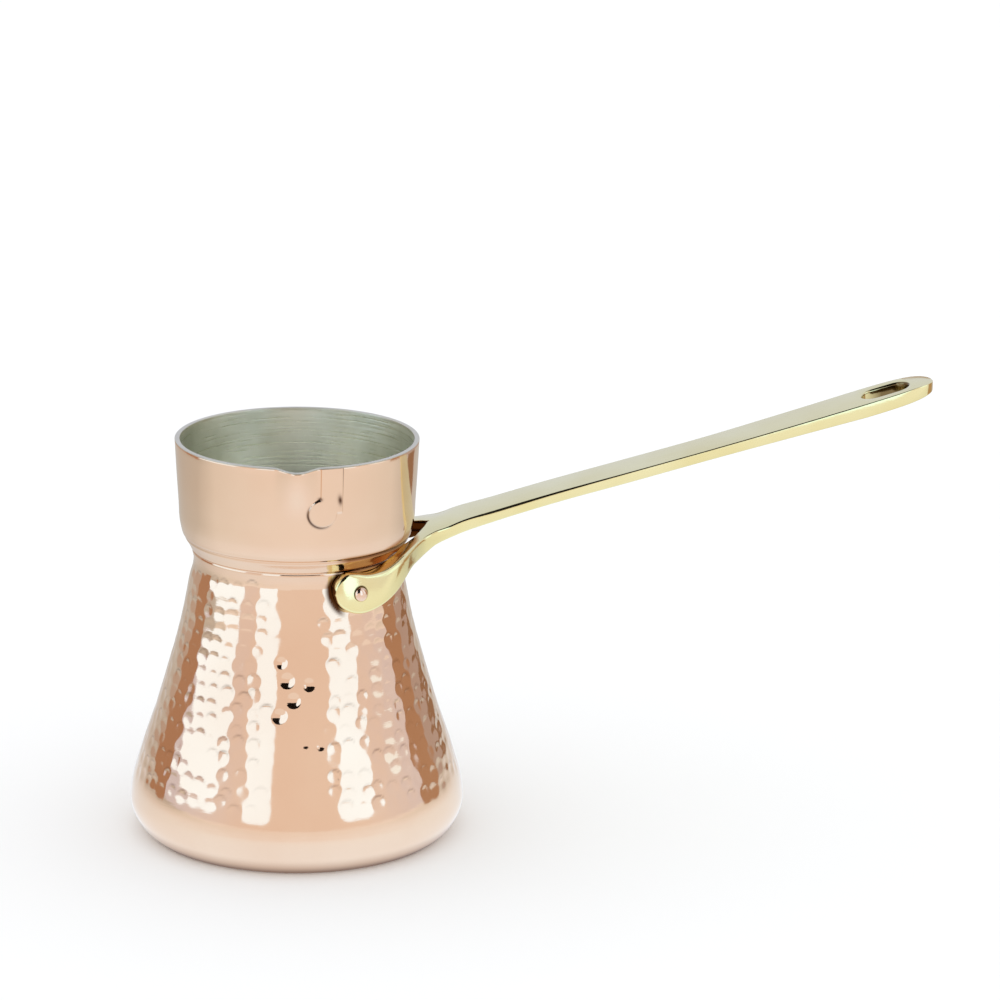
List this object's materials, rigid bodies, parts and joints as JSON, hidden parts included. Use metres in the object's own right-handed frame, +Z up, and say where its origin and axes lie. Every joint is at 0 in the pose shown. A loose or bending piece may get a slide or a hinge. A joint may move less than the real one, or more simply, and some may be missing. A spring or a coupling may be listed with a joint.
{
  "type": "turkish coffee pot",
  "caption": "Hammered copper cezve with a wide base, narrow neck, pouring lip, tin lining and a long brass handle riveted round the neck.",
  "frame": {"origin": "centre of the flat base, on the surface that the pot stands on", "axes": "+Z up the pot's axis, +X along the handle, pouring lip towards -Y (8 degrees past square to the handle, away from it)"},
  "size_m": [0.2191, 0.09, 0.1189],
  "materials": {
    "copper": "polished copper, hammered on the cone and plain on the collar and base edge",
    "tin": "hand-wiped tin with turned rings",
    "brass": "cast, filed and polished",
    "rivet_copper": "polished copper, domed"
  },
  "bodies": {
    "root": {"pot_body": "copper", "tin_lining": "tin", "handle": "brass", "rivet_front": "rivet_copper", "rivet_back": "rivet_copper"}
  },
  "joints": []
}
